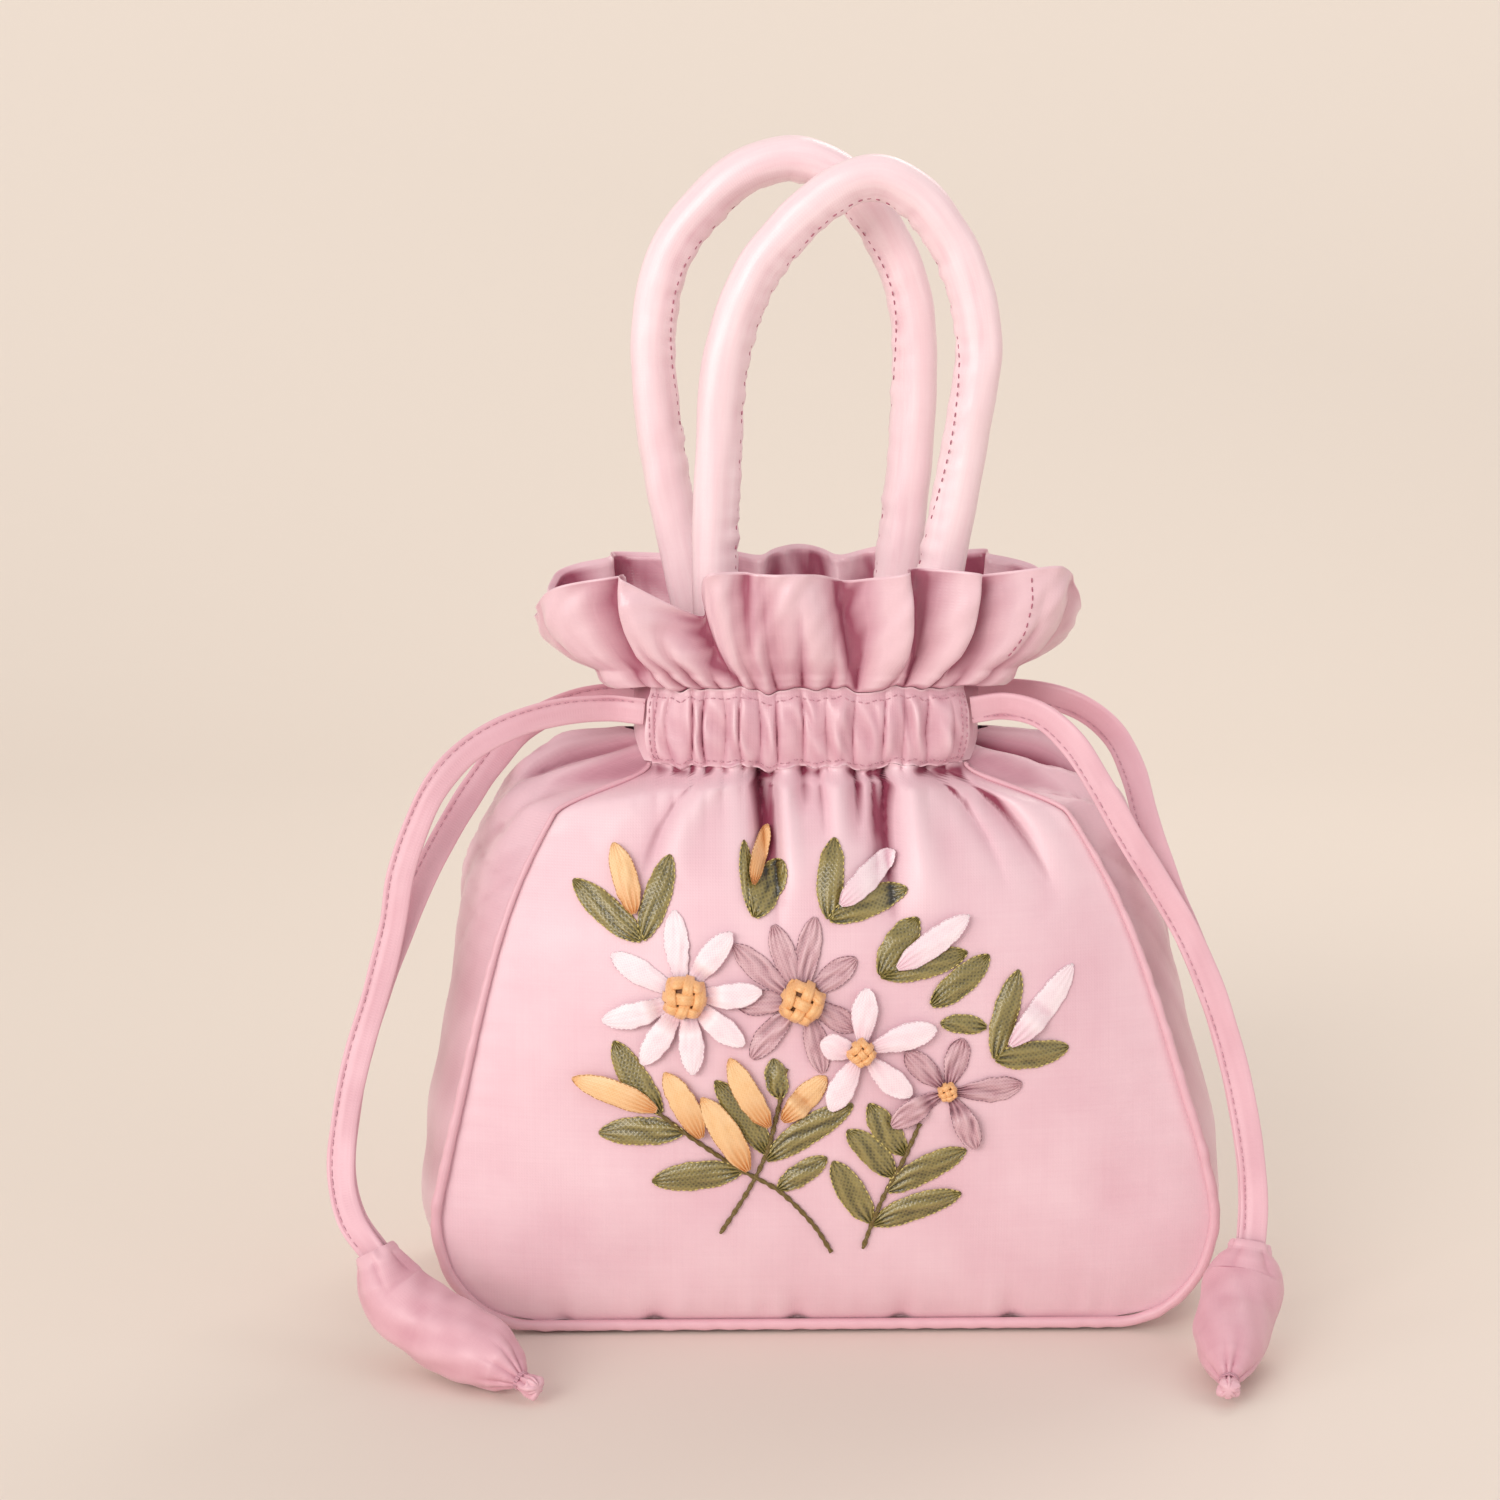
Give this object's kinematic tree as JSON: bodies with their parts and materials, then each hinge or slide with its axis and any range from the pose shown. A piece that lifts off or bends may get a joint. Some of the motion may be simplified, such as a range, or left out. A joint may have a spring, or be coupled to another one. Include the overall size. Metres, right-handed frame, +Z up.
{
  "type": "reticule",
  "caption": "Small soft drawstring handbag with two padded loop handles, a gathered neck and frill, tape drawstrings with padded pods and a spray of ribbon embroidery.",
  "frame": {"origin": "on the base, under the middle of the bag between the two panels", "axes": "+Z up, +X to the wearer's right when facing the embroidered front, -Y out of the embroidered front"},
  "size_m": [0.2336, 0.1472, 0.2964],
  "materials": {
    "satin": "rose pink silk satin with a soft sheen",
    "handle_satin": "pale pink satin over a soft filling",
    "tape": "folded and stitched rose satin tape",
    "pale_ribbon": "white-pink silk ribbon",
    "mauve_ribbon": "mauve silk ribbon",
    "apricot_ribbon": "apricot silk ribbon",
    "olive_ribbon": "olive gauze ribbon with a golden looped edge"
  },
  "bodies": {
    "root": {"front_panel": "satin", "back_panel": "satin", "gusset": "satin", "front_piping": "satin", "back_piping": "satin", "neck_ruffle": "satin", "casing_front": "satin", "casing_back": "satin", "front_handle": "handle_satin", "back_handle": "handle_satin", "cord_left_front": "tape", "cord_left_back": "tape", "cord_right_front": "tape", "cord_right_back": "tape", "pod_left": "handle_satin", "pod_right": "handle_satin", "flower_left_petals": "pale_ribbon", "flower_left_centre": "apricot_ribbon", "flower_middle_petals": "mauve_ribbon", "flower_middle_centre": "apricot_ribbon", "flower_right_petals": "pale_ribbon", "flower_right_centre": "apricot_ribbon", "flower_low_petals": "mauve_ribbon", "flower_low_centre": "apricot_ribbon", "leaves_upper_left": "olive_ribbon", "leaves_upper_middle": "olive_ribbon", "leaves_upper_right": "olive_ribbon", "leaves_right": "olive_ribbon", "leaf_right_long": "olive_ribbon", "leaf_right_short": "olive_ribbon", "leaves_far_right": "olive_ribbon", "leaves_lower_left": "olive_ribbon", "leaves_lower_right": "olive_ribbon", "bud_upper_left": "apricot_ribbon", "bud_upper_middle": "apricot_ribbon", "bud_upper_right": "pale_ribbon", "bud_right": "pale_ribbon", "bud_far_right": "pale_ribbon", "bud_left_low": "apricot_ribbon", "bud_left_middle": "apricot_ribbon", "bud_left_inner": "apricot_ribbon", "bud_middle": "apricot_ribbon", "bud_middle_right": "apricot_ribbon"}
  },
  "joints": []
}
